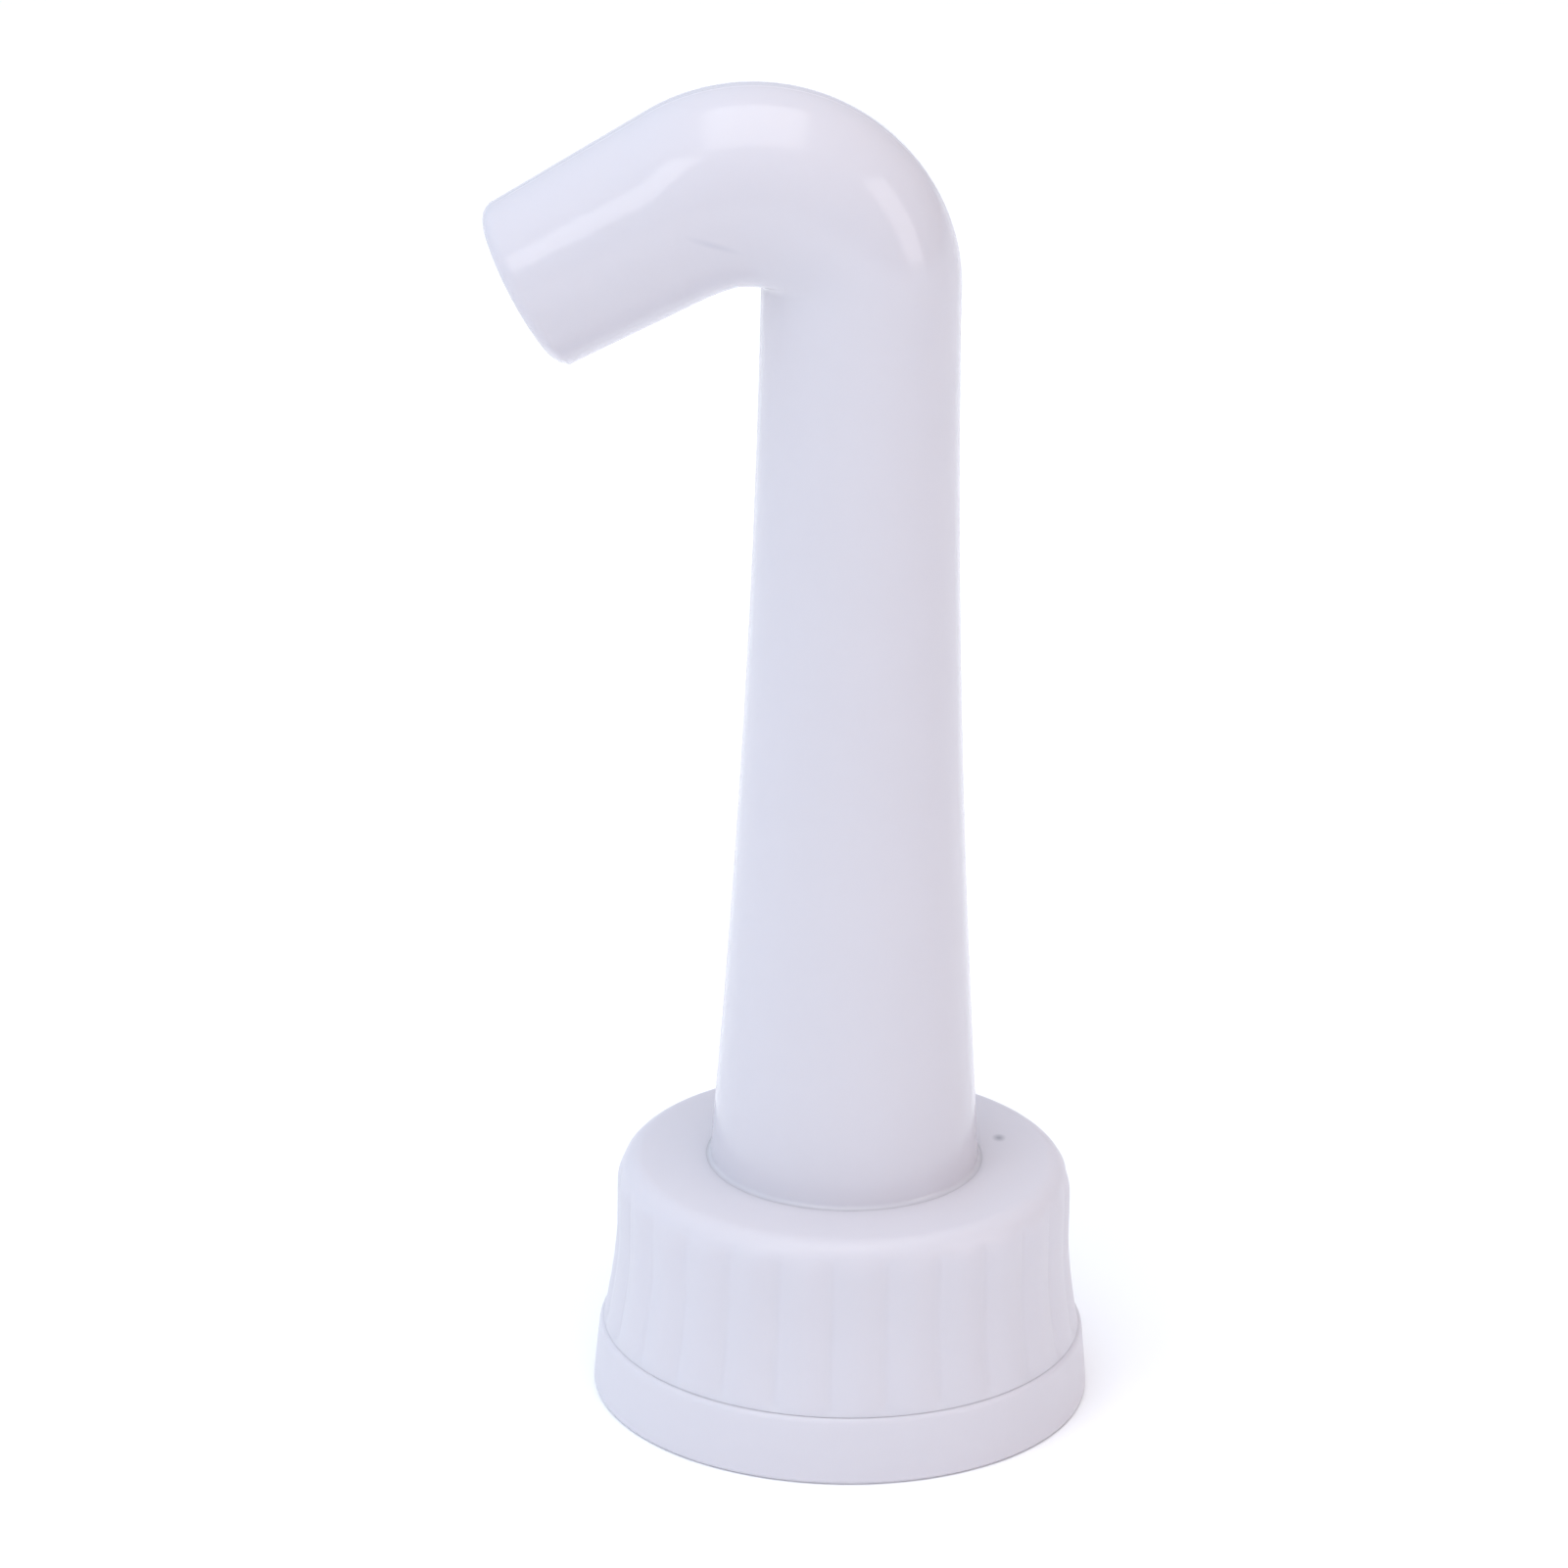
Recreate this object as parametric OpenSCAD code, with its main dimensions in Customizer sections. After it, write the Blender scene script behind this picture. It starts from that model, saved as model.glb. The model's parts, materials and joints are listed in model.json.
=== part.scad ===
/* [Collar] */
// Outer radius of the lock band where it stands on the ground
band_foot_r = 16.5; // [16.2:0.1:17]
// Outer radius of the lock band at its upper edge
band_top_r = 16.15; // [16.05:0.05:16.3]
// Height of the lock band
band_h = 4.6; // [4:0.1:5]
// Height of the collar's roof above the ground
collar_h = 16.4; // [16:0.1:17]
// Outer radius of the ribbed skirt, half way up
skirt_r = 15.1; // [15:0.1:15.4]
// Outer radius of the flared lower end of the skirt
skirt_foot_r = 15.75; // [15.6:0.05:15.9]
// Radius of the rounded rim between skirt and roof
rim_round = 1.3; // [0.8:0.1:1.6]
// Number of grip ribs round the skirt
rib_count = 26; // [20:1:32]
// Depth of the valleys between the ribs
rib_depth = 0.3; // [0.2:0.05:0.4]
// Angle from +X to the first valley
rib_turn = 4; // [0:0.1:13]

/* [Thread] */
// Crest radius of the internal thread
thread_crest_r = 12.9; // [12.7:0.1:13]
// Root radius of the internal thread
thread_root_r = 13.8; // [13.5:0.1:13.9]
// Rise of the thread in one turn
thread_pitch = 3.2; // [3:0.1:3.6]
// Turns of thread
thread_turns = 1.7; // [1:0.1:1.7]

/* [Tube] */
// Outer radius of the stem where it stands on the collar
stem_foot_r = 9.2; // [9:0.1:10]
// Outer radius of the stem where the bend begins
stem_top_r = 6.4; // [6.2:0.1:6.6]
// Height at which the bend begins
bend_z = 77.2; // [60:0.1:90]
// Radius of the bend's centre line
bend_r = 6.9; // [6.7:0.1:9]
// Angle that the bend turns through
bend_angle = 119.5; // [90:0.5:135]
// Length of the straight spout after the bend
spout_len = 13.2; // [10:0.1:25]
// Outer radius of the spout at its mouth
mouth_r = 5.75; // [5.4:0.05:6.2]
// Radius of the suction passage in the spout and the bend
bore_r = 4.6; // [4:0.1:4.8]
// Radius of the suction passage at the lower end of the tube
shank_bore_r = 5.1; // [4.9:0.1:5.2]
// Outer radius of the shank that turns in the collar
shank_r = 7.4; // [7.3:0.1:7.6]

/* [Hidden] */
$fn = 96;

// Collar: skirt, roof and the boss round the swivel bore
band_gap = 0.25;
skirt_z = band_h + band_gap;
bridge_count = 8;
roof_t = 2.2;
roof_z = collar_h - roof_t;
flare_top_z = 9.4;
rim_r = skirt_r - 0.05;
swivel_bore_r = shank_r + 0.05;
boss_r = 8.9;
boss_z = roof_z - 1;
relief_r = thread_root_r + 0.1;
thread_top_z = skirt_z + 5.85;

// Sealing gasket under the roof
gasket_t = 1.4;
gasket_in_r = boss_r + 0.25;
gasket_out_r = relief_r - 0.15;

// Shank and the pieces it carries, from the shoulder down
shoulder_gap = 0.05;
shoulder_z = collar_h + shoulder_gap;
ring_wire_r = 0.6;
ring_z = collar_h - 1.6;
ring_mid_r = shank_r - 0.57;
ring_groove_r = ring_mid_r - ring_wire_r - 0.03;
ring_groove_half = ring_wire_r + 0.1;
washer_t = 0.3;
washer_z = boss_z - 0.05 - washer_t;
washer_out_r = 8.8;
clip_t = 0.85;
clip_z = washer_z - 0.05 - clip_t;
clip_in_r = shank_r - 0.8;
clip_out_r = 8.6;
clip_open = 64;
clip_groove_r = clip_in_r - 0.05;
strainer_t = 0.8;
shank_z = clip_z - 0.25 - strainer_t;
strainer_r = 5.98;
strainer_hole_r = 0.5;
strainer_pitch = 1.4;
strainer_rings = 3;

// Rounding of the spout's mouth, and the small step where the mould's bend insert meets its neighbours
mouth_round = 0.7;
parting_step = 0.03;

// The skirt widens towards its lower end, starting at flare_top_z
function skirt_at(z) = skirt_r + (skirt_foot_r - skirt_r) * pow((flare_top_z - z) / (flare_top_z - skirt_z), 1.5);
// The stem narrows quickly above the collar and slowly below the bend
function stem_at(t) = stem_top_r + (stem_foot_r - stem_top_r) * pow(1 - t, 1.8);
// One corner of a thread groove that is cut to the root radius, i steps along the helix
function groove_point(i, p) = [
    p[0] * cos(groove_start + i * 360 / groove_steps),
    p[0] * sin(groove_start + i * 360 / groove_steps),
    skirt_z - 0.4 + thread_pitch * i / groove_steps + p[1]];

groove_start = 5;
groove_steps = 30;
groove_count = round(thread_turns * groove_steps);
groove_mouth_r = thread_crest_r - 0.6;
groove_section = [[groove_mouth_r, -0.95], [thread_root_r, -0.4], [thread_root_r, 0.4], [groove_mouth_r, 0.95]];

module ring(in_r, out_r, z, h) {
    translate([0, 0, z])
        difference() {
            cylinder(r = out_r, h = h);
            translate([0, 0, -1]) cylinder(r = in_r, h = h + 2);
        }
}

// Helical groove with a four-sided section, closed by a face at each end
module thread_groove() {
    last = 4 * groove_count;
    polyhedron(
        points = [for (i = [0 : groove_count]) for (p = groove_section) groove_point(i, p)],
        faces = concat(
            [[0, 2, 1], [0, 3, 2]],
            [for (i = [0 : groove_count - 1]) for (j = [0 : 3])
                let (a = 4 * i + j, b = 4 * i + (j + 1) % 4)
                each [[a, b + 4, a + 4], [a, b, b + 4]]],
            [[last + 3, last + 1, last + 2], [last + 3, last, last + 1]]),
        convexity = 6);
}

// Straight length of V-shaped valley whose floor runs down from the top at radius r, leaning outwards
module valley_run(r, top_z, length, lean) {
    translate([r, 0, top_z])
        rotate([0, 180 - lean, 0])
            linear_extrude(height = length)
                polygon([[0, 0], [-2, -3.2], [-2, 3.2]]);
}

// Valley between two ribs: upright above the flare, leaning with the skirt below it
module rib_valley() {
    floor_r = skirt_r - rib_depth;
    lean = atan((skirt_foot_r - skirt_r) / (flare_top_z - skirt_z));
    valley_run(floor_r, collar_h + 1, collar_h + 1 - flare_top_z, 0);
    valley_run(floor_r, flare_top_z, collar_h, lean);
}

// Ribbed cap with a rounded rim, internal thread and a boss for the swivelling tube.
// The turned body's seam lies in the middle of a rib.
module screw_collar() {
    rim_z = collar_h - rim_round;
    color([0.87, 0.87, 0.93])
        difference() {
            rotate([0, 0, rib_turn + 180 / rib_count])
                rotate_extrude()
                    polygon(concat(
                        [[swivel_bore_r, boss_z], [boss_r, boss_z], [boss_r, roof_z], [relief_r, roof_z],
                         [relief_r, thread_top_z], [thread_crest_r, thread_top_z], [thread_crest_r, skirt_z]],
                        [for (i = [0 : 6]) let (z = skirt_z + (flare_top_z - skirt_z) * i / 6) [skirt_at(z), z]],
                        [for (a = [0 : 15 : 90]) [rim_r - rim_round + rim_round * cos(a), rim_z + rim_round * sin(a)]],
                        [[swivel_bore_r, collar_h]]));
            thread_groove();
            for (i = [0 : rib_count - 1])
                rotate([0, 0, rib_turn + i * 360 / rib_count]) rib_valley();
        }
}

// Smooth ring below the skirt, held to it by small bridges
module lock_band() {
    in_r = thread_root_r + 0.8;
    edge = 0.3;
    color([0.86, 0.86, 0.92])
        union() {
            rotate_extrude()
                polygon(concat(
                    [[in_r, 0]],
                    [for (a = [-90 : 30 : 0]) [band_foot_r - edge + edge * cos(a), edge + edge * sin(a)]],
                    [for (a = [0 : 30 : 90]) [band_top_r - edge + edge * cos(a), band_h - edge + edge * sin(a)]],
                    [[in_r, band_h]]));
            for (i = [0 : bridge_count - 1])
                rotate([0, 0, (i + 0.5) * 360 / bridge_count])
                    translate([in_r + 0.1, -0.4, band_h - 0.2])
                        cube([0.7, 0.8, band_gap + 0.2]);
        }
}

// Flat washer that the neck's rim presses against the roof
module gasket() {
    color([0.75, 0.76, 0.78]) ring(gasket_in_r, gasket_out_r, roof_z - gasket_t, gasket_t);
}

// Length of round bar along the bend's centre line
module bend(r) {
    translate([-bend_r, 0, bend_z])
        rotate([90, 0, 0])
            rotate_extrude(angle = bend_angle) translate([bend_r, 0]) circle(r = r);
}

// Puts its children where the bend ends, with +Z along the spout
module at_bend_end() {
    translate([-bend_r + bend_r * cos(bend_angle), 0, bend_z + bend_r * sin(bend_angle)])
        rotate([0, -bend_angle, 0]) children();
}

// Shank with its two ring grooves, shoulder and flared stem
module stem_solid() {
    steps = 14;
    clip_top_z = clip_z + clip_t + 0.04;
    ring_low_z = ring_z - ring_groove_half;
    ring_top_z = ring_z + ring_groove_half;
    rotate_extrude()
        polygon(concat(
            [[0, shank_z], [shank_r, shank_z], [shank_r, clip_z - 0.04], [clip_groove_r, clip_z - 0.04],
             [clip_groove_r, clip_top_z], [shank_r, clip_top_z], [shank_r, ring_low_z],
             [ring_groove_r, ring_low_z], [ring_groove_r, ring_top_z], [shank_r, ring_top_z],
             [shank_r, shoulder_z]],
            [for (i = [0 : steps]) [stem_at(i / steps), shoulder_z + (bend_z - shoulder_z) * i / steps]],
            [[0, bend_z]]));
}

// Straight spout with a rounded mouth
module spout_solid() {
    at_bend_end()
        rotate_extrude()
            polygon(concat(
                [[0, 0], [stem_top_r, 0]],
                [for (a = [0 : 22.5 : 90])
                    [mouth_r - mouth_round * (1 - cos(a)), spout_len - mouth_round * (1 - sin(a))]],
                [[0, spout_len]]));
}

// Stem, bend and spout in one moulding, with the shank that turns in the collar
module spout_tube() {
    color([0.87, 0.87, 0.94])
        difference() {
            union() {
                stem_solid();
                bend(stem_top_r - parting_step);
                spout_solid();
            }
            translate([0, 0, shank_z - 1]) cylinder(r = strainer_r + 0.02, h = strainer_t + 1);
            translate([0, 0, shank_z]) cylinder(r = shank_bore_r, h = shoulder_z - shank_z);
            translate([0, 0, shoulder_z]) cylinder(r1 = shank_bore_r, r2 = bore_r, h = bend_z - shoulder_z);
            bend(bore_r + parting_step);
            at_bend_end() cylinder(r = bore_r, h = spout_len + 1);
        }
}

// Rubber ring in the shank's upper groove
module swivel_o_ring() {
    color([0.2, 0.2, 0.22])
        translate([0, 0, ring_z])
            rotate_extrude() translate([ring_mid_r, 0]) circle(r = ring_wire_r, $fn = 48);
}

// Slip washer between the clip and the collar's boss
module thrust_washer() {
    color([0.93, 0.93, 0.9]) ring(shank_r + 0.08, washer_out_r, washer_z, washer_t);
}

// Round bars at the two ends of the open spring ring
module clip_eyes(r, z, h) {
    for (s = [-1, 1])
        rotate([0, 0, s * clip_open / 2])
            translate([clip_out_r - 0.95, 0, z])
                rotate([0, 0, 130]) cylinder(r = r, h = h);
}

// Open spring ring with an eye at each end
module retaining_clip() {
    gap_half = [20 * cos(clip_open / 2), 20 * sin(clip_open / 2)];
    color([0.7, 0.71, 0.73])
        difference() {
            union() {
                difference() {
                    ring(clip_in_r, clip_out_r, clip_z, clip_t);
                    translate([0, 0, clip_z - 1])
                        linear_extrude(height = clip_t + 2)
                            polygon([[0, 0], [gap_half[0], -gap_half[1]], gap_half]);
                }
                clip_eyes(0.8, clip_z, clip_t);
            }
            clip_eyes(0.4, clip_z - 1, clip_t + 2);
        }
}

// Perforated disc in the lower end of the suction passage, holes in a hexagonal grid
module strainer() {
    color([0.8, 0.82, 0.84])
        difference() {
            translate([0, 0, shank_z]) cylinder(r = strainer_r, h = strainer_t);
            for (u = [-strainer_rings : strainer_rings])
                for (v = [max(-strainer_rings, -strainer_rings - u) : min(strainer_rings, strainer_rings - u)])
                    translate([(u + v / 2) * strainer_pitch, v * strainer_pitch * sin(60), shank_z - 1])
                        cylinder(r = strainer_hole_r, h = strainer_t + 2);
        }
}

screw_collar();
lock_band();
gasket();
spout_tube();
swivel_o_ring();
thrust_washer();
retaining_clip();
strainer();
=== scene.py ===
"""Looks for a bent suction tip: lofted tube, ribbed collar with its thread, seals, clip and studio."""
import json
from math import acos, cos, pi, radians, sin, sqrt, tan

import bpy
from mathutils import Matrix, Vector


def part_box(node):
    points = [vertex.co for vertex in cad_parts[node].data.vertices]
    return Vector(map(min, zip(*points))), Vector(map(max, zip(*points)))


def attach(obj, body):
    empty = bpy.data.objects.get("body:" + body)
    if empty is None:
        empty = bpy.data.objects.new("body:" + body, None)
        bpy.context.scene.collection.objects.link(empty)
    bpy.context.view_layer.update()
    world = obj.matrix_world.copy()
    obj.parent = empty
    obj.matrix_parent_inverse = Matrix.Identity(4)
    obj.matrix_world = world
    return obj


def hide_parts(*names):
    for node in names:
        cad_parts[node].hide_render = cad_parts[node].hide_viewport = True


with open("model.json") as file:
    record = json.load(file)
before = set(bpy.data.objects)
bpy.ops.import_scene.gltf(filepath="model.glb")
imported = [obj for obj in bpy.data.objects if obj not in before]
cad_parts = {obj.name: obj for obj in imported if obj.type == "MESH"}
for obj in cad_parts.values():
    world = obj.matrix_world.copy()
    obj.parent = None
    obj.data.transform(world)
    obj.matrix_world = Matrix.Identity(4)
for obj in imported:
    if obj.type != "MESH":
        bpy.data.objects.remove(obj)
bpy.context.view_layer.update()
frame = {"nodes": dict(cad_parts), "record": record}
scene = bpy.context.scene

MM = 0.001


def box_mm(node):
    """The lowest and highest corner of a CAD node, in millimetres."""
    low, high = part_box(node)
    return [c / MM for c in low], [c / MM for c in high]


# ---------------------------------------------------------------- dimensions, in millimetres
mounts = {m["name"]: m for m in frame["record"]["mounts"]}
collar_low, collar_high = box_mm("screw_collar")
band_high = box_mm("lock_band")[1]
tube_high = box_mm("spout_tube")[1]
gasket_low, gasket_high = box_mm("gasket")
ring_low, ring_high = box_mm("swivel_o_ring")
washer_low, washer_high = box_mm("thrust_washer")
clip_low, clip_high = box_mm("retaining_clip")
strainer_low, strainer_high = box_mm("strainer")

# collar and lock band: the skirt reaches down to the band and flares out to it, so that no gap shows
BAND_H = mounts["lock_bore"]["dims"]["length_mm"]
BAND_BORE_R = mounts["lock_bore"]["dims"]["r_mm"]
BAND_FOOT_R = band_high[0]
BAND_TOP_R = BAND_FOOT_R - 0.4
SKIRT_Z = collar_low[2]
SKIRT_FOOT_R = collar_high[0] + 0.12
SKIRT_R = SKIRT_FOOT_R - 0.8
LIP_Z = BAND_H + 0.004
LIP_IN_R = BAND_BORE_R + 0.75
FLARE_Z = 11
ROOF_TOP = collar_high[2]
ROOF_LOW = gasket_high[2]
RIM_ROUND = 2.2
RIM_WIDTH = 1.7
RIB_COUNT = 26
RIB_TURN = radians(4)
RIB_DEPTH = 0.25
RIB_RUN_OUT = 0.5
CREST_R = mounts["collar_thread"]["dims"]["r_mm"]
ROOT_R = CREST_R + 0.9
THREAD_TOP = SKIRT_Z + mounts["collar_thread"]["dims"]["length_mm"]
THREAD_PITCH = 3.2
THREAD_TURNS = 1.7
THREAD_START_Z = SKIRT_Z - 0.4
THREAD_START_TURN = 5 / 360
GROOVE_HALF_WIDTH = 0.73
GROOVE_FLANK = 0.33
RELIEF_R = ROOT_R + 0.1
SHANK_R = washer_high[0] - 1.4
BOSS_R = washer_high[0] + 0.1
BOSS_Z = washer_high[2] + 0.05

# tube: the spout's mouth and direction come from the mount at its tip
STEM_FOOT_R = tube_high[0]
STEM_TOP_R = 6.4
STEM_POWER = 1.8
FOOT_FILLET = 0.3
BEND_R = 6.9
BORE_R = mounts["tip_bore"]["dims"]["r_mm"]
SHANK_BORE_R = 5.1
MOUTH_R = 5.75
SPOUT_LEN = mounts["tip_bore"]["dims"]["length_mm"]
spout_dir = mounts["tip_bore"]["axis"]
BEND_ANGLE = acos(spout_dir[2])
mouth = [c / MM for c in mounts["tip_bore"]["pos_m"]]
BEND_Z = mouth[2] - SPOUT_LEN * spout_dir[2] - BEND_R * sin(BEND_ANGLE)
SHOULDER_Z = ROOF_TOP + 0.004
CLIP_GROOVE_R = SHANK_R - 0.85
CLIP_PLAY = 0.04
RING_GROOVE_R = SHANK_R - 1.2
RING_GROOVE_HALF = 0.7
MOUTH_ROUND = 0.85


# ---------------------------------------------------------------- mesh helpers
def lerp(a, b, k):
    return a + (b - a) * k


def steps(count):
    """Fractions from 0 to 1, both ends included."""
    return [i / count for i in range(count + 1)]


def rounded(corners, closed=True, segments=5):
    """A line through corners (x, y, radius), each corner rounded with an arc of its radius."""
    count = len(corners)
    points = []
    for i, (x, y, radius) in enumerate(corners):
        here = Vector((x, y))
        if radius == 0 or (not closed and i in (0, count - 1)):
            points.append(here)
            continue
        before = Vector(corners[i - 1][:2]) - here
        after = Vector(corners[(i + 1) % count][:2]) - here
        half = before.angle(after) / 2
        reach = min(radius / tan(half), 0.49 * before.length, 0.49 * after.length)
        bend = reach * tan(half)
        start = here + before.normalized() * reach
        centre = here + (before.normalized() + after.normalized()).normalized() * bend / sin(half)
        first = start - centre
        last = here + after.normalized() * reach - centre
        turn = first.angle_signed(last)
        for k in steps(segments):
            points.append(centre + Matrix.Rotation(-turn * k, 2) @ first)
    return points


def add_mesh(name, points, faces, sharp=35):
    """A smooth-shaded object from points in millimetres, its edges hard only where faces meet steeply."""
    mesh = bpy.data.meshes.new(name)
    mesh.from_pydata([Vector(p) * MM for p in points], [], faces)
    mesh.validate()
    mesh.update()
    mesh.shade_smooth()
    mesh.set_sharp_from_angle(angle=radians(sharp))
    piece = bpy.data.objects.new(name, mesh)
    scene.collection.objects.link(piece)
    return piece


def skin(name, rings, closed=True, sharp=35):
    """Quads between successive rings of equal length. A closed skin joins its last ring to its first."""
    size = len(rings[0])
    points = [p for ring in rings for p in ring]
    faces = []
    for i in range(len(rings) if closed else len(rings) - 1):
        j = (i + 1) % len(rings)
        for k in range(size):
            n = (k + 1) % size
            faces.append((i * size + k, i * size + n, j * size + n, j * size + k))
    return add_mesh(name, points, faces, sharp)


def lathe(name, corners, sides=192, segments=5, radius=None):
    """A closed outline of corners (r, z, rounding) turned about Z. radius(angle, r, z) may vary it."""
    rings = []
    for r, z in rounded(corners, segments=segments):
        ring = []
        for k in range(sides):
            a = 2 * pi * k / sides
            here = radius(a, r, z) if radius else r
            ring.append((here * cos(a), here * sin(a), z))
        rings.append(ring)
    return skin(name, rings)


# ---------------------------------------------------------------- tube
def stem_r(z):
    """The stem widens slowly below the bend, faster above the collar, and ends in a small fillet."""
    rise = (z - SHOULDER_Z) / (BEND_Z - SHOULDER_Z)
    left = min(1, (z - SHOULDER_Z) / FOOT_FILLET)
    fillet = FOOT_FILLET * (1 - sqrt(left * (2 - left)))
    flared_by = STEM_FOOT_R - FOOT_FILLET - STEM_TOP_R
    return STEM_TOP_R + flared_by * max(0, 1 - rise) ** STEM_POWER + fillet


def along(path, k):
    """The point a fraction k of the way along a list of points, by length."""
    lengths = [(b - a).length for a, b in zip(path, path[1:])]
    left = k * sum(lengths)
    for a, b, length in zip(path, path[1:], lengths):
        if left <= length:
            return a.lerp(b, left / length)
        left -= length
    return path[-1]


def tube_angles():
    """Angles round the tube, closer together at the two mould lines in the plane of the bend."""
    fine = [0.6, 1.3, 2.2]
    coarse = [4 + i * 172 / 44 for i in range(45)]
    half = [0] + fine + coarse + [180 - f for f in reversed(fine)]
    return [radians(a) for a in half + [a + 180 for a in half]]


TUBE_ANGLES = tube_angles()
MOULD_LINE = 0.035
MOULD_LINE_HALF = radians(1.3)


def section(inner, outer, width, line=0.0):
    """An ellipse from the tube's inner point to its outer one, both (x, z), as wide as given along Y."""
    ring = []
    for a in TUBE_ANGLES:
        across = (1 + cos(a)) / 2
        bulge = line * max(0, 1 - abs(sin(a)) / sin(MOULD_LINE_HALF))
        middle = inner.lerp(outer, across)
        push = (outer - inner).normalized() * (bulge if across > 0.5 else -bulge)
        ring.append((middle.x + push.x, width * sin(a), middle.y + push.y))
    return ring


def flat_section(r, z, line=0.0):
    return section(Vector((-r, z)), Vector((r, z)), r, line)


def tube_rings():
    """Rings from the shank's lower end up outside, over the mouth's lip and back down the passage."""
    centre = Vector((-BEND_R, BEND_Z))
    across = Vector((cos(BEND_ANGLE), sin(BEND_ANGLE)))
    tip = Vector((mouth[0], mouth[2]))
    heading = Vector((spout_dir[0], spout_dir[2]))
    seat_r = (strainer_high[0] - strainer_low[0]) / 2 + 0.02
    clip_from = clip_low[2] - CLIP_PLAY
    clip_to = clip_high[2] + CLIP_PLAY
    ring_mid_z = (ring_low[2] + ring_high[2]) / 2
    ring_from = ring_mid_z - RING_GROOVE_HALF
    ring_to = ring_mid_z + RING_GROOVE_HALF
    shank = [
        (seat_r, strainer_low[2], 0.1), (SHANK_R, strainer_low[2], 0.3),
        (SHANK_R, clip_from, 0.05), (CLIP_GROOVE_R, clip_from, 0.05),
        (CLIP_GROOVE_R, clip_to, 0.05), (SHANK_R, clip_to, 0.05),
        (SHANK_R, ring_from, 0.1), (RING_GROOVE_R, ring_from, 0.1),
        (RING_GROOVE_R, ring_to, 0.1), (SHANK_R, ring_to, 0.1),
        (SHANK_R, SHOULDER_Z, 0.02), (stem_r(SHOULDER_Z), SHOULDER_Z, 0),
    ]
    rings = [flat_section(p.x, p.y) for p in rounded(shank, closed=False, segments=3)[1:]]

    # stem: a fillet, then flared, with the mould line standing a little proud from here to the mouth
    throat = Vector((-STEM_TOP_R, BEND_Z + 0.55))
    stem_end = throat.y - 0.9
    for k in steps(12)[1:]:
        z = SHOULDER_Z + FOOT_FILLET * k * k
        rings.append(flat_section(stem_r(z), z))
    rings.append(flat_section(stem_r(SHOULDER_Z + 1), SHOULDER_Z + 1))
    for k in steps(44)[1:]:
        z = lerp(SHOULDER_Z + 1, stem_end, k)
        rings.append(flat_section(stem_r(z), z, MOULD_LINE))

    # bend: the outside follows an arc, the inside a tight corner with a short flat web behind it
    web_end = throat + Vector((-1.9, -0.35))
    mouth_low = tip - across * MOUTH_R
    mouth_high = tip + across * MOUTH_R
    inside = rounded([
        (throat.x, stem_end, 0), (throat.x, throat.y, 0.5), (web_end.x, web_end.y, 2.5),
        (*web_end.lerp(mouth_low, 0.25), 0)], closed=False, segments=8)
    outside = [Vector((STEM_TOP_R, stem_end)), Vector((STEM_TOP_R, BEND_Z))]
    for k in steps(60)[1:]:
        angle = BEND_ANGLE * k
        outside.append(centre + (BEND_R + STEM_TOP_R) * Vector((cos(angle), sin(angle))))
    outside.append(outside[-1].lerp(mouth_high, 0.08))
    for k in steps(64)[1:]:
        rings.append(section(along(inside, k), along(outside, k), STEM_TOP_R, MOULD_LINE))

    # spout: straight lines to the rounded mouth
    lip_out = 1 - MOUTH_ROUND / SPOUT_LEN
    for k in steps(26)[1:]:
        low = inside[-1].lerp(mouth_low, k * lip_out)
        high = outside[-1].lerp(mouth_high, k * lip_out)
        rings.append(section(low, high, lerp(STEM_TOP_R, MOUTH_R, k), MOULD_LINE * (1 - k ** 8)))
    for a in [radians(d) for d in (25, 45, 65, 90)]:
        r = MOUTH_R - MOUTH_ROUND * (1 - cos(a))
        middle = tip - heading * MOUTH_ROUND * (1 - sin(a))
        rings.append(section(middle - across * r, middle + across * r, r))

    # suction passage
    for r, back in ((BORE_R + 0.2, 0.0), (BORE_R + 0.06, 0.06), (BORE_R, 0.2)):
        middle = tip - heading * back
        rings.append(section(middle - across * r, middle + across * r, r))
    for k in steps(10)[1:]:
        middle = tip - heading * lerp(0.2, SPOUT_LEN, k)
        rings.append(section(middle - across * BORE_R, middle + across * BORE_R, BORE_R))
    for k in steps(32)[1:]:
        angle = BEND_ANGLE * (1 - k)
        ray = Vector((cos(angle), sin(angle)))
        rings.append(section(centre + ray * (BEND_R - BORE_R), centre + ray * (BEND_R + BORE_R), BORE_R))
    for k in steps(12)[1:]:
        rings.append(flat_section(lerp(BORE_R, SHANK_BORE_R, k), lerp(BEND_Z, SHOULDER_Z, k)))
    rings.append(flat_section(SHANK_BORE_R, strainer_high[2] + 0.01))
    rings.append(flat_section(seat_r, strainer_high[2] + 0.01))
    rings.append(flat_section(seat_r, strainer_low[2] + 0.1))
    return rings


tube = skin("tube_moulding", tube_rings())
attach(tube, "spout")
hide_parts("spout_tube")


# ---------------------------------------------------------------- collar
def skirt_r(z):
    """Outer radius of the skirt, which flares towards its lower end."""
    drop = max(0, (FLARE_Z - z) / (FLARE_Z - LIP_Z))
    return SKIRT_R + (SKIRT_FOOT_R - SKIRT_R) * drop ** 1.5


def groove_depth(angle, z):
    """How deep the thread is cut at a place on the collar's inner wall, from 0 to 1."""
    round_wall = angle / (2 * pi) - THREAD_START_TURN
    turn = (z - THREAD_START_Z) / THREAD_PITCH - round_wall
    nearest = min(max(round(turn), 0), 1)
    along_helix = nearest + round_wall
    run_out = min(1, max(0, (THREAD_TURNS - along_helix) * 12))
    run_in = min(1, max(0, along_helix * 12))
    height = abs(turn - nearest) * THREAD_PITCH
    flank = min(1, max(0, (GROOVE_HALF_WIDTH - height) / GROOVE_FLANK))
    return flank * run_out * run_in


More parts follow.
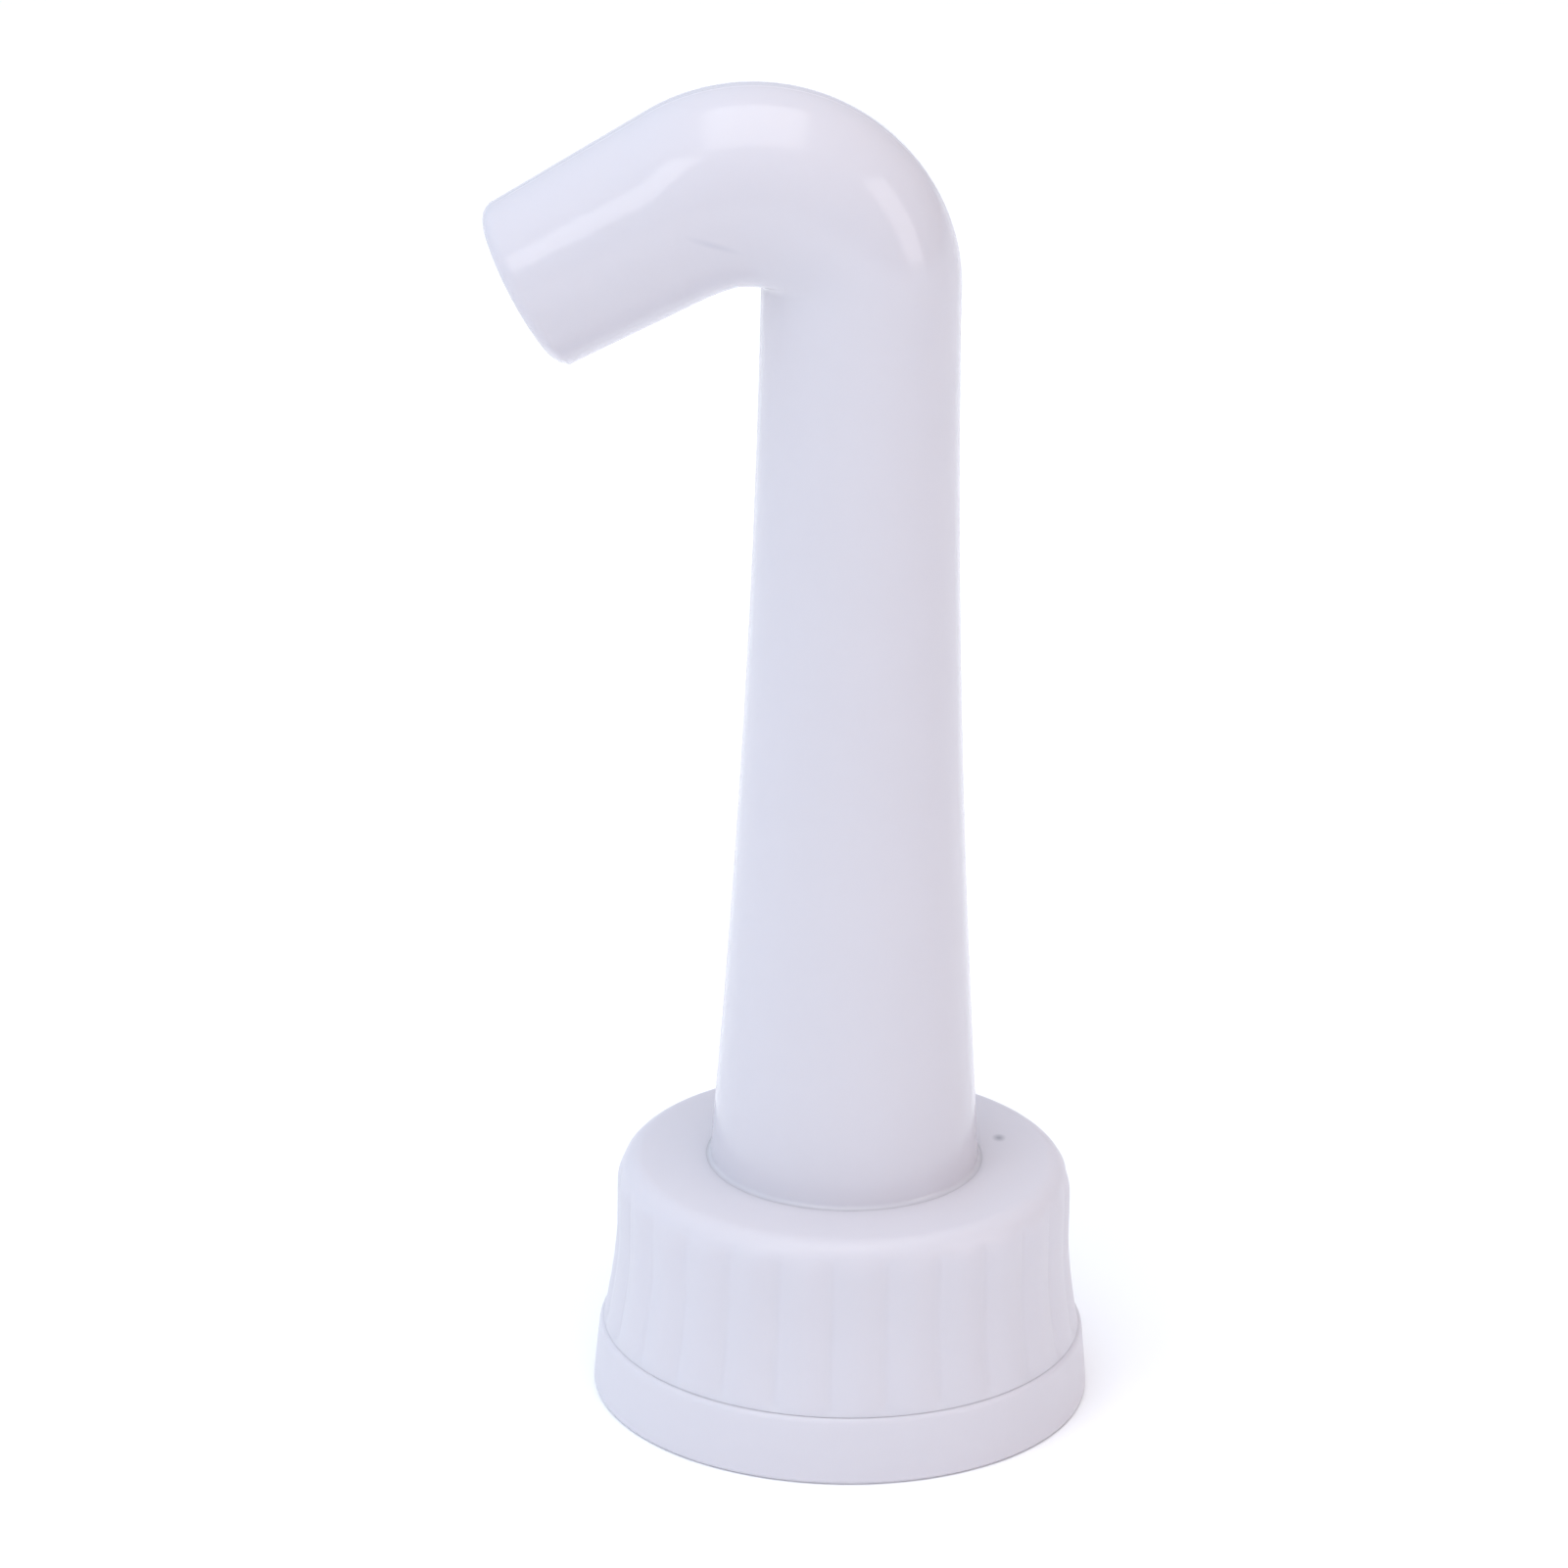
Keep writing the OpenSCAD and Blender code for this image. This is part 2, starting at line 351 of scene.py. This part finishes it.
def rib_drop(angle):
    """Depth below the ribs' crests: round crests and sharp valleys."""
    place = (angle - RIB_TURN) * RIB_COUNT / (2 * pi) % 1
    return RIB_DEPTH * abs(2 * place - 1) ** 1.7


def collar_radius(angle, r, z):
    """The plain radius changed by the skirt's ribs, which run out at both ends, and by the thread."""
    if r > RELIEF_R + 0.1 and z < ROOF_TOP - 0.02:
        from_roof = max(0, (ROOF_TOP - 0.7 - z) / 1.2)
        from_foot = (z - LIP_Z) / RIB_RUN_OUT
        return r - rib_drop(angle) * min(1, from_roof, from_foot)
    if abs(r - CREST_R) < 0.01 and SKIRT_Z < z < THREAD_TOP:
        return r + (ROOT_R - CREST_R) * groove_depth(angle, z)
    return r


def collar_corners():
    """The cap's outline: up the skirt, over the rim and down the swivel bore, boss, roof and thread."""
    rim_z = ROOF_TOP - RIM_ROUND
    rim_r = skirt_r(ROOF_TOP) - RIM_WIDTH
    skirt = [(skirt_r(z), z, 0) for z in [lerp(LIP_Z, FLARE_Z, k) for k in steps(12)[1:]]]
    upper = [(skirt_r(z), z, 0) for z in [lerp(FLARE_Z, rim_z, k) for k in steps(12)[1:]]]
    rim = [
        (rim_r + RIM_WIDTH * cos(a), rim_z + RIM_ROUND * sin(a), 0)
        for a in [radians(90) * k for k in steps(12)[1:]]]
    thread = [(CREST_R, lerp(THREAD_TOP - 0.1, SKIRT_Z + 0.05, k), 0) for k in steps(80)]
    return (
        [(SKIRT_FOOT_R, LIP_Z, 0)] + skirt + upper + rim
        + [(SHANK_R + 0.05, ROOF_TOP, 0.12), (SHANK_R + 0.05, BOSS_Z, 0.12), (BOSS_R, BOSS_Z, 0.2),
           (BOSS_R, ROOF_LOW, 0.2), (RELIEF_R, ROOF_LOW, 0.2), (RELIEF_R, THREAD_TOP, 0.05),
           (CREST_R, THREAD_TOP, 0)]
        + thread + [(CREST_R, SKIRT_Z, 0), (LIP_IN_R, SKIRT_Z, 0.05), (LIP_IN_R, LIP_Z, 0)])


collar = lathe("collar_cap", collar_corners(), sides=RIB_COUNT * 14, segments=4, radius=collar_radius)
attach(collar, "collar")
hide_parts("screw_collar")


# ---------------------------------------------------------------- lock band and its bridges
BRIDGE_COUNT = 8


def bridge_block(angle):
    """Corners and faces of one small bridge from the band's upper edge to the skirt."""
    points = []
    for z in (BAND_H - 0.2, SKIRT_Z):
        for r, side in ((BAND_BORE_R + 0.1, -0.4), (BAND_BORE_R + 0.7, -0.25),
                        (BAND_BORE_R + 0.7, 0.25), (BAND_BORE_R + 0.1, 0.4)):
            points.append((r * cos(angle) - side * sin(angle), r * sin(angle) + side * cos(angle), z))
    faces = [(3, 2, 1, 0), (4, 5, 6, 7)] + [(i, (i + 1) % 4, (i + 1) % 4 + 4, i + 4) for i in range(4)]
    return points, faces


band_middle_r = lerp(BAND_FOOT_R, BAND_TOP_R, 0.45)
band = lathe("band_ring", [
    (BAND_FOOT_R, 0, 0.3), (band_middle_r, BAND_H / 2, 0), (BAND_TOP_R, BAND_H, 0.5),
    (BAND_BORE_R, BAND_H, 0.15), (BAND_BORE_R, 0, 0.3)], sides=256, segments=6)
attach(band, "collar")
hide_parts("lock_band")
bridge_points, bridge_faces = [], []
for index in range(BRIDGE_COUNT):
    corner_points, corner_faces = bridge_block(2 * pi * (index + 0.5) / BRIDGE_COUNT)
    bridge_faces += [tuple(v + len(bridge_points) for v in f) for f in corner_faces]
    bridge_points += corner_points
bridges = add_mesh("band_bridges", bridge_points, bridge_faces)
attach(bridges, "collar")

# ---------------------------------------------------------------- seals and washer
gasket_in = BOSS_R + 0.25
gasket_out = RELIEF_R - 0.15
gasket = lathe("gasket_ring", [
    (gasket_out, gasket_low[2], 0.25), (gasket_out, gasket_high[2], 0.25),
    (gasket_in, gasket_high[2], 0.25), (gasket_in, gasket_low[2], 0.25)])
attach(gasket, "collar")
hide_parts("gasket")

washer = lathe("slip_washer", [
    (washer_high[0], washer_low[2], 0.06), (washer_high[0], washer_high[2], 0.06),
    (SHANK_R + 0.08, washer_high[2], 0.06), (SHANK_R + 0.08, washer_low[2], 0.06)])
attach(washer, "spout")
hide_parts("thrust_washer")

ring_wire = (ring_high[2] - ring_low[2]) / 2
ring_mid = ring_high[0] - ring_wire
ring_z = ring_low[2] + ring_wire
wire_sides = 28
wire_angles = [2 * pi * k / wire_sides for k in range(wire_sides)]
o_ring = lathe("o_ring", [
    (ring_mid + ring_wire * cos(a), ring_z + ring_wire * sin(a), 0) for a in wire_angles])
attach(o_ring, "spout")
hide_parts("swivel_o_ring")


# ---------------------------------------------------------------- materials
def new_material(name):
    material = bpy.data.materials.new(name)
    material.use_nodes = True
    nodes = material.node_tree.nodes
    place = nodes.new("ShaderNodeTexCoord")
    return material, nodes, material.node_tree.links, place.outputs["Object"]


def noise(nodes, links, place, scale, detail=3):
    """Noise with grains of about 1 / scale metres."""
    grain = nodes.new("ShaderNodeTexNoise")
    grain.inputs["Scale"].default_value = scale
    grain.inputs["Detail"].default_value = detail
    links.new(place, grain.inputs["Vector"])
    return grain.outputs["Fac"]


def between(nodes, links, fraction, low, high):
    """Maps the middle of a noise's range to low and high."""
    spread = nodes.new("ShaderNodeMapRange")
    spread.inputs["From Min"].default_value = 0.3
    spread.inputs["From Max"].default_value = 0.7
    spread.inputs["To Min"].default_value = low
    spread.inputs["To Max"].default_value = high
    links.new(fraction, spread.inputs["Value"])
    return spread.outputs["Result"]


def mix_colour(nodes, links, fraction, first, second):
    """A mix of two colours. The first may be another node's output."""
    mix = nodes.new("ShaderNodeMix")
    mix.data_type = "RGBA"
    links.new(fraction, mix.inputs[0])
    if isinstance(first, tuple):
        mix.inputs[6].default_value = (*first, 1)
    else:
        links.new(first, mix.inputs[6])
    mix.inputs[7].default_value = (*second, 1)
    return mix.outputs[2]


def bump(nodes, links, shader, height, distance):
    relief = nodes.new("ShaderNodeBump")
    relief.inputs["Strength"].default_value = 1
    relief.inputs["Distance"].default_value = distance
    links.new(height, relief.inputs["Height"])
    links.new(relief.outputs["Normal"], shader.inputs["Normal"])


def smudge(nodes, links, place, centre, half_sizes, tilt, strength):
    """A soft spot, 1 at its centre in millimetres, stretched to its half sizes and turned about Y."""
    frame_of_spot = nodes.new("ShaderNodeMapping")
    frame_of_spot.vector_type = "TEXTURE"
    frame_of_spot.inputs["Location"].default_value = Vector(centre) * MM
    frame_of_spot.inputs["Rotation"].default_value = (0, radians(tilt), 0)
    frame_of_spot.inputs["Scale"].default_value = Vector(half_sizes) * MM
    spot = nodes.new("ShaderNodeTexGradient")
    spot.gradient_type = "SPHERICAL"
    level = nodes.new("ShaderNodeMath")
    level.operation = "MULTIPLY"
    level.inputs[1].default_value = strength
    links.new(place, frame_of_spot.inputs["Vector"])
    links.new(frame_of_spot.outputs["Vector"], spot.inputs["Vector"])
    links.new(spot.outputs["Fac"], level.inputs[0])
    return level.outputs["Value"]


def moulded_plastic(name, colour, roughness, marks=()):
    """Opaque plastic, a little uneven in tone and gloss. Each mark is (colour, smudge arguments)."""
    material, nodes, links, place = new_material(name)
    shader = nodes["Principled BSDF"]
    darker = tuple(c * 0.965 for c in colour)
    tone = mix_colour(nodes, links, noise(nodes, links, place, 110), colour, darker)
    for mark_colour, spot in marks:
        tone = mix_colour(nodes, links, smudge(nodes, links, place, *spot), tone, mark_colour)
    links.new(tone, shader.inputs["Base Color"])
    gloss = between(nodes, links, noise(nodes, links, place, 260), roughness - 0.02, roughness + 0.02)
    links.new(gloss, shader.inputs["Roughness"])
    bump(nodes, links, shader, noise(nodes, links, place, 700, 2), 0.000012)
    shader.inputs["Subsurface Weight"].default_value = 0.25
    shader.inputs["Subsurface Radius"].default_value = (1.0, 0.9, 0.8)
    shader.inputs["Subsurface Scale"].default_value = 0.0012
    shader.inputs["IOR"].default_value = 1.49
    return material


def rubber(name, colour):
    material, nodes, links, place = new_material(name)
    shader = nodes["Principled BSDF"]
    worn = tuple(c * 1.25 for c in colour)
    tone = mix_colour(nodes, links, noise(nodes, links, place, 500), colour, worn)
    links.new(tone, shader.inputs["Base Color"])
    gloss = between(nodes, links, noise(nodes, links, place, 900), 0.55, 0.7)
    links.new(gloss, shader.inputs["Roughness"])
    bump(nodes, links, shader, noise(nodes, links, place, 2500), 0.00002)
    return material


def brushed_steel(name, colour):
    material, nodes, links, place = new_material(name)
    shader = nodes["Principled BSDF"]
    stretch = nodes.new("ShaderNodeMapping")
    stretch.inputs["Scale"].default_value = (1, 12, 1)
    links.new(place, stretch.inputs["Vector"])
    lines = noise(nodes, links, stretch.outputs["Vector"], 400)
    tone = mix_colour(nodes, links, lines, colour, tuple(c * 0.8 for c in colour))
    links.new(tone, shader.inputs["Base Color"])
    links.new(between(nodes, links, lines, 0.3, 0.42), shader.inputs["Roughness"])
    bump(nodes, links, shader, lines, 0.000008)
    shader.inputs["Metallic"].default_value = 1
    return material


def paint(piece, material):
    piece.data.materials.clear()
    piece.data.materials.append(material)


WHITE = (0.645, 0.62, 0.66)
knit_line = ((0.42, 0.42, 0.5), ((-9.5, -6.1, 81.8), (2.1, 3.5, 0.3), 18, 0.32))
speck = ((0.28, 0.28, 0.32), ((10.35, 3.1, ROOF_TOP), (0.5, 0.7, 0.5), 0, 0.9))
paint(tube, moulded_plastic("tube_white", WHITE, 0.13, [knit_line]))
cap_white = moulded_plastic("cap_white", WHITE, 0.38, [speck])
for part in (collar, band, bridges):
    paint(part, cap_white)
paint(gasket, rubber("gasket_grey", (0.5, 0.51, 0.53)))
paint(o_ring, rubber("ring_black", (0.025, 0.025, 0.028)))
paint(washer, moulded_plastic("slip_white", (0.8, 0.8, 0.76), 0.5))
steel = brushed_steel("spring_steel", (0.62, 0.62, 0.63))
for node in ("retaining_clip", "strainer"):
    paint(frame["nodes"][node], steel)


# ---------------------------------------------------------------- studio
def softbox(name, place, aim, width, height, power, colour):
    light = bpy.data.lights.new(name, "AREA")
    light.shape = "RECTANGLE"
    light.size = width
    light.size_y = height
    light.energy = power
    light.color = colour
    lamp = bpy.data.objects.new(name, light)
    lamp.location = place
    lamp.rotation_mode = "QUATERNION"
    lamp.rotation_quaternion = (Vector(aim) - Vector(place)).to_track_quat("-Z", "Y")
    scene.collection.objects.link(lamp)
    return lamp


top_of_bend = Vector((0, 0, tube_high[2])) * MM
softbox("softbox_above", (0, -0.06, 1.1), top_of_bend, 0.75, 1.1, 4.0, (1, 0.98, 0.95))
fill_left = softbox("fill_left", (-0.77, -0.05, 1.01), top_of_bend, 1.6, 0.3, 1.6, (0.88, 0.94, 1))
softbox("softbox_right", (1.1, -0.38, 0.45), top_of_bend, 0.5, 0.8, 2.2, (1, 0.94, 0.95))
softbox("softbox_front", (-0.77, -0.85, 0.9), top_of_bend, 0.5, 0.75, 2.2, (1, 0.99, 0.98))
fill_front = softbox("fill_front", (-0.3, -1.4, 1.1), top_of_bend, 1.2, 1.0, 1.8, (0.98, 0.98, 1))
fill_above = softbox("fill_above", (0.1, -0.5, 1.3), top_of_bend, 1.2, 1.2, 3.4, (1, 0.98, 0.97))
for fill in (fill_left, fill_front, fill_above):
    fill.visible_glossy = False

# a soft room, bluish at -X and pinkish at +X
world = bpy.data.worlds.new("soft_room")
world.use_nodes = True
scene.world = world
sky = world.node_tree.nodes
wires = world.node_tree.links
direction = sky.new("ShaderNodeTexCoord")
parts = sky.new("ShaderNodeSeparateXYZ")
across_room = sky.new("ShaderNodeMapRange")
across_room.inputs["From Min"].default_value = -1
walls = mix_colour(sky, wires, across_room.outputs["Result"], (0.68, 0.82, 1.0), (0.44, 0.38, 0.39))
wires.new(direction.outputs["Generated"], parts.inputs["Vector"])
wires.new(parts.outputs["X"], across_room.inputs["Value"])
wires.new(walls, sky["Background"].inputs["Color"])
sky["Background"].inputs["Strength"].default_value = 1.05

FLOOR_HALF = 3
floor_corners = [(x * FLOOR_HALF, y * FLOOR_HALF, 0) for x, y in ((-1, -1), (1, -1), (1, 1), (-1, 1))]
floor_mesh = bpy.data.meshes.new("floor")
floor_mesh.from_pydata(floor_corners, [], [(0, 1, 2, 3)])
floor = bpy.data.objects.new("floor", floor_mesh)
scene.collection.objects.link(floor)
floor_paint, floor_nodes, floor_links, floor_place = new_material("pale_floor")
floor_grain = noise(floor_nodes, floor_links, floor_place, 3)
floor_tone = mix_colour(
    floor_nodes, floor_links, floor_grain, (0.97, 0.97, 0.97), (0.95, 0.95, 0.955))
floor_shader = floor_nodes["Principled BSDF"]
floor_links.new(floor_tone, floor_shader.inputs["Base Color"])
floor_shader.inputs["Roughness"].default_value = 0.8
paint(floor, floor_paint)

# ---------------------------------------------------------------- camera
AZIMUTH = radians(-0.68)
ELEVATION = radians(21.62)
DISTANCE = 0.6
LENS = 210.5
ROLL = radians(0.97)
TARGET_Z = 42.79
AIM_LEFT = 4.42
target = Vector((0, 0, TARGET_Z)) * MM
back = Vector((sin(AZIMUTH) * cos(ELEVATION), -cos(AZIMUTH) * cos(ELEVATION), sin(ELEVATION)))
to_the_right = Vector((cos(AZIMUTH), sin(AZIMUTH), 0))
aim = target - to_the_right * AIM_LEFT * MM
camera = bpy.data.objects.new("camera", bpy.data.cameras.new("camera"))
camera.data.lens = LENS
camera.data.sensor_width = 36
camera.data.clip_start = 0.01
camera.location = target + back * DISTANCE
camera.rotation_mode = "QUATERNION"
look = (aim - camera.location).to_track_quat("-Z", "Y")
camera.rotation_quaternion = look @ Matrix.Rotation(ROLL, 3, "Z").to_quaternion()
scene.collection.objects.link(camera)
scene.camera = camera
scene.view_settings.view_transform = "Standard"
